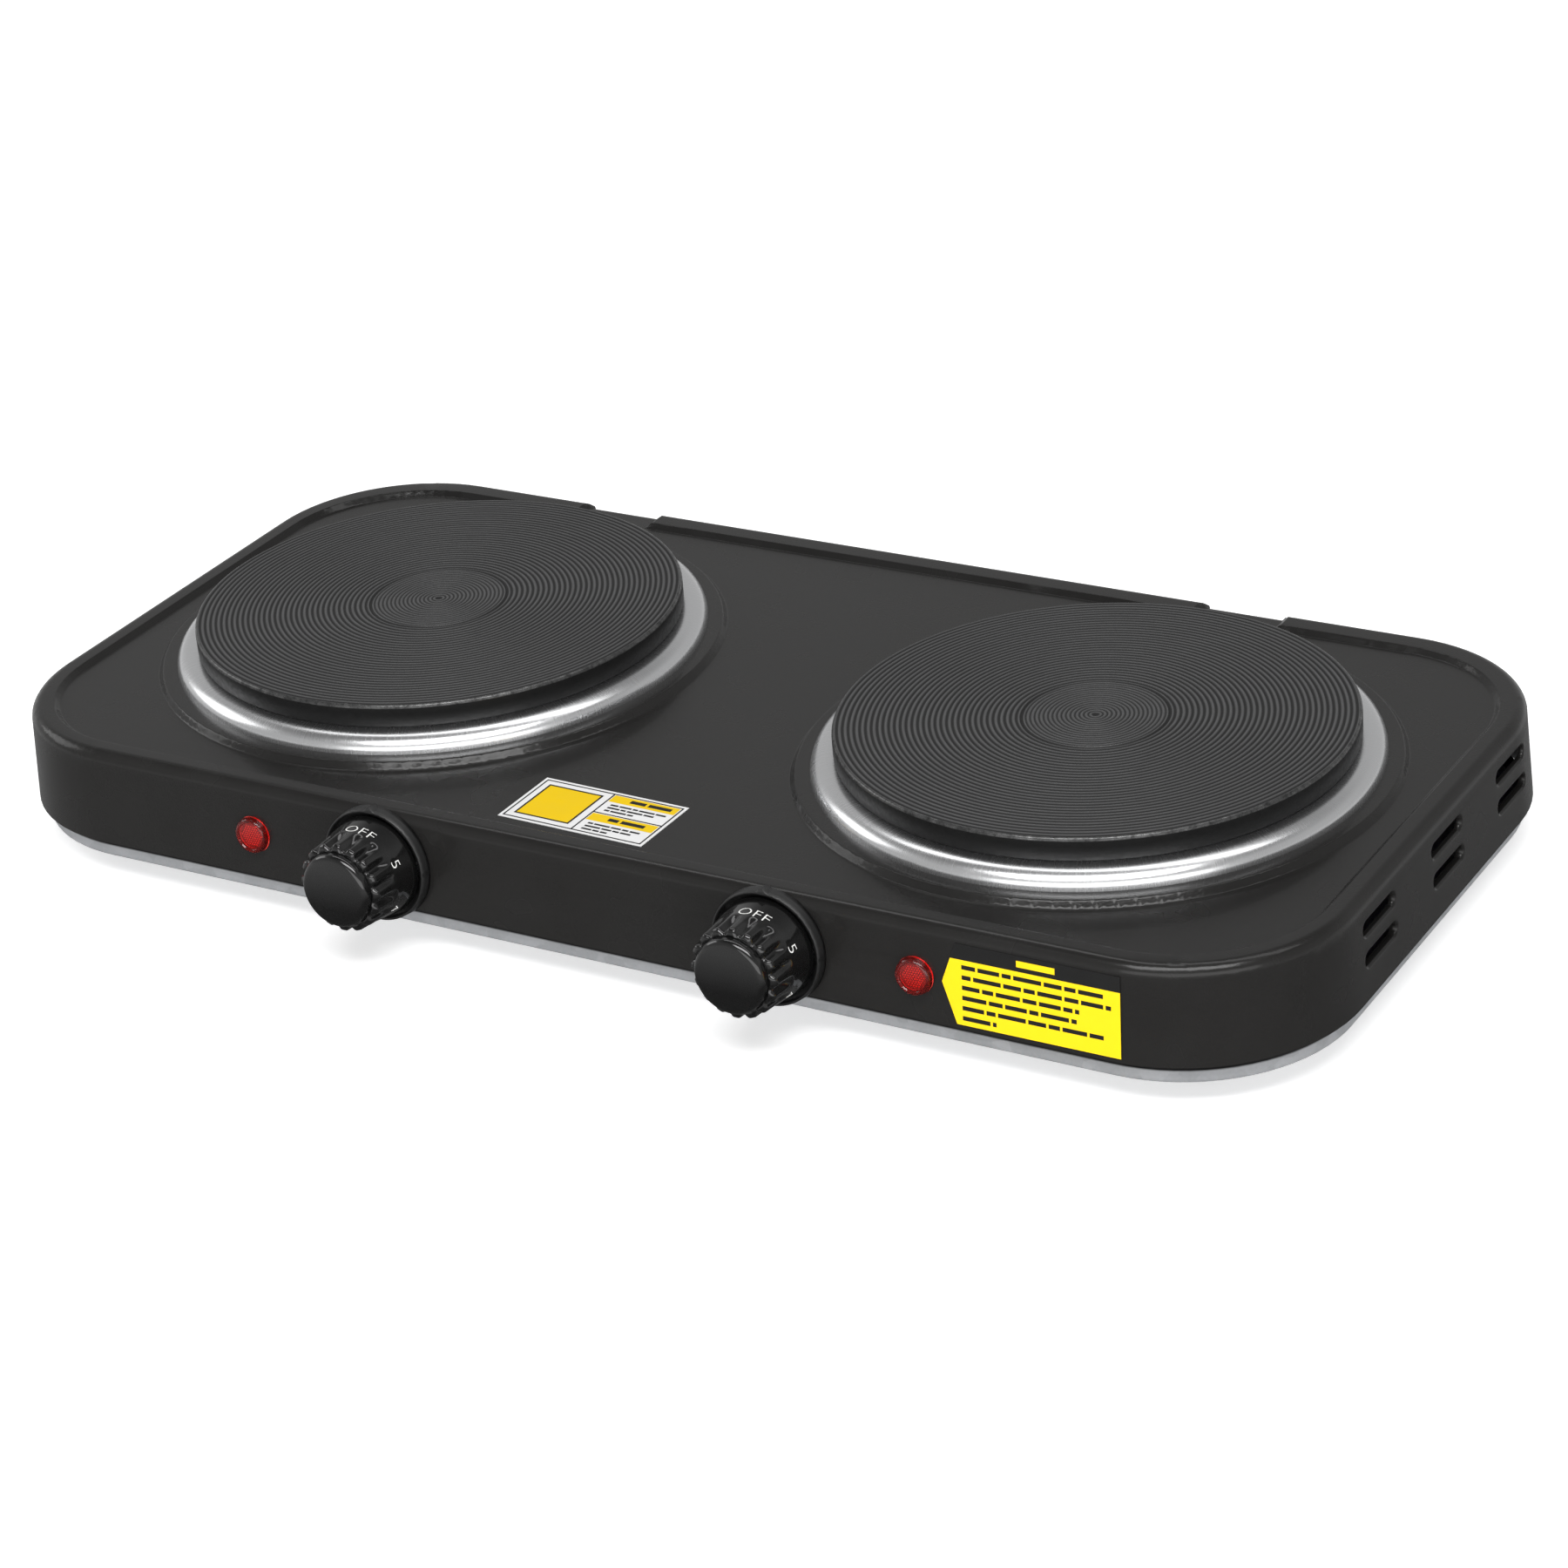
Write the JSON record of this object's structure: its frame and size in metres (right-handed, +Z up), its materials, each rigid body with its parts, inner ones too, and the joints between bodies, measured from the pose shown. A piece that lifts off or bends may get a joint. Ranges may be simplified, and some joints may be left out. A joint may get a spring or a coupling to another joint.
{
  "type": "double electric hot plate",
  "caption": "Tabletop double electric hot plate: cast-iron plates in steel trim rings on a black pressed body with graduated control knobs and red pilot lamps.",
  "frame": {"origin": "centre of the whole appliance's bounding box, on the plane that the feet stand on", "axes": "+X to the right along the row of plates, +Y from the controls towards the rear wall, +Z up"},
  "size_m": [0.536, 0.2959, 0.069],
  "materials": {
    "black_powder_coat": "semi-gloss fine-textured powder coat",
    "galvanised_steel": "galvanised, dull with a faint spangle",
    "stainless_steel": "satin stainless, lightly turned",
    "zinc_plated_steel": "bright zinc plate",
    "cast_iron": "dark, finely turned rings",
    "coil_metal": "oxidised resistance wire",
    "refractory": "chalky magnesia filling",
    "white_ceramic": "unglazed steatite",
    "knob_plastic": "glossy moulded black",
    "collar_plastic": "fine matt moulded black",
    "red_lens": "clear red moulded lens",
    "neon_glass": "clear glass",
    "black_rubber": "matt",
    "lead_insulation": "woven glass sleeve",
    "earth_insulation": "green and yellow insulation",
    "brass_parts": "plain",
    "label_film": "yellow, black and white film without lettering"
  },
  "bodies": {
    "housing": {"left_hotplate": "cast_iron", "left_trim_ring": "stainless_steel", "left_heating_coil": "coil_metal", "left_refractory_fill": "refractory", "left_plate_cover": "galvanised_steel", "left_center_stud": "zinc_plated_steel", "left_clamp_bridge": "galvanised_steel", "left_plate_terminals": "white_ceramic", "left_knob_collar": "collar_plastic", "left_thermostat": "white_ceramic", "left_thermostat_bracket": "galvanised_steel", "left_lamp_lens": "red_lens", "left_lamp_clip": "zinc_plated_steel", "left_neon_bulb": "neon_glass", "left_leads": "lead_insulation", "right_hotplate": "cast_iron", "right_trim_ring": "stainless_steel", "right_heating_coil": "coil_metal", "right_refractory_fill": "refractory", "right_plate_cover": "galvanised_steel", "right_center_stud": "zinc_plated_steel", "right_clamp_bridge": "galvanised_steel", "right_plate_terminals": "white_ceramic", "right_knob_collar": "collar_plastic", "right_thermostat": "white_ceramic", "right_thermostat_bracket": "galvanised_steel", "right_lamp_lens": "red_lens", "right_lamp_clip": "zinc_plated_steel", "right_neon_bulb": "neon_glass", "right_leads": "lead_insulation", "body_shell": "black_powder_coat", "base_plate": "galvanised_steel", "support_brackets": "galvanised_steel", "bridge_washers": "zinc_plated_steel", "bridge_nuts": "zinc_plated_steel", "thermostat_screws": "zinc_plated_steel", "cord_bushing": "black_rubber", "rubber_feet": "black_rubber", "foot_screws": "zinc_plated_steel", "base_screws": "zinc_plated_steel", "terminal_block": "white_ceramic", "terminal_screws": "brass_parts", "earth_lead": "earth_insulation", "earth_screw": "brass_parts", "top_label": "label_film", "front_label": "label_film"},
    "left_control": {"left_knob": "knob_plastic", "left_knob_clip": "zinc_plated_steel", "left_thermostat_shaft": "zinc_plated_steel"},
    "right_control": {"right_knob": "knob_plastic", "right_knob_clip": "zinc_plated_steel", "right_thermostat_shaft": "zinc_plated_steel"}
  },
  "joints": [
    {"name": "left_knob_turn", "type": "hinge", "parent": "housing", "child": "left_control", "pos_m": [-0.08, -0.11829, 0.0333], "axis": [0, 0.9981, -0.061], "range_deg": [0, 300]},
    {"name": "right_knob_turn", "type": "hinge", "parent": "housing", "child": "right_control", "pos_m": [0.08, -0.11829, 0.0333], "axis": [0, 0.9981, -0.061], "range_deg": [0, 300]}
  ]
}
